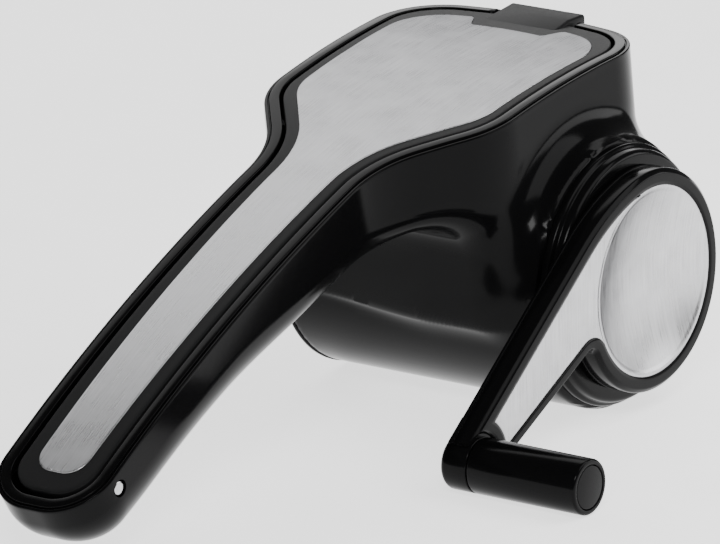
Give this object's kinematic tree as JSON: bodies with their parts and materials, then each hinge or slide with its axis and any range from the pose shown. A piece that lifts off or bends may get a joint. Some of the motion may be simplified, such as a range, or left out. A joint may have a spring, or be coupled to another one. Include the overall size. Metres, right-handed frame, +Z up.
{
  "type": "rotary cheese grater",
  "caption": "Hand-held rotary cheese grater: a curved handle and hopper with a hinged pressing arm, and a crank that turns a grating drum in a round housing.",
  "frame": {"origin": "on the table, under the drum's axis, in the mid-plane of the handle", "axes": "+X along the drum's axis towards the crank, +Y from the handle towards the head, +Z up"},
  "size_m": [0.1286, 0.2202, 0.089],
  "materials": {
    "black_gloss": "gloss",
    "black_satin": "satin",
    "white_plastic": "satin",
    "brushed": "brushed",
    "bright_steel": "polished",
    "film": "matte"
  },
  "bodies": {
    "grater_body": {"body": "black_gloss", "side_cap": "black_gloss", "hub_bush": "white_plastic", "hinge_pin": "bright_steel"},
    "pressing_arm": {"lid": "black_satin", "lid_inlay": "brushed", "lid_adhesive": "film", "pressing_foot": "black_satin", "foot_screws": "bright_steel"},
    "crank": {"drum_sheet": "bright_steel", "drum_ring": "black_satin", "drum_end": "black_satin", "drive_shaft": "bright_steel", "shaft_screw": "bright_steel", "crank_front": "black_gloss", "crank_back": "black_gloss", "crank_inlay": "brushed", "crank_adhesive": "film", "crank_screws": "bright_steel", "knob_axle": "bright_steel", "knob_washer": "bright_steel"},
    "knob": {"knob_grip": "black_gloss", "knob_cap": "black_gloss"}
  },
  "joints": [
    {"name": "lid_hinge", "type": "hinge", "parent": "grater_body", "child": "pressing_arm", "pos_m": [0, -0.16685, 0.01969], "axis": [1, 0, 0], "range_deg": [0, 60]},
    {"name": "crank_turn", "type": "hinge", "parent": "grater_body", "child": "crank", "pos_m": [0, 0, 0.0349], "axis": [1, 0, 0], "continuous": true},
    {"name": "knob_spin", "type": "hinge", "parent": "crank", "child": "knob", "pos_m": [0, -0.0764, 0.00739], "axis": [1, 0, 0], "continuous": true}
  ]
}
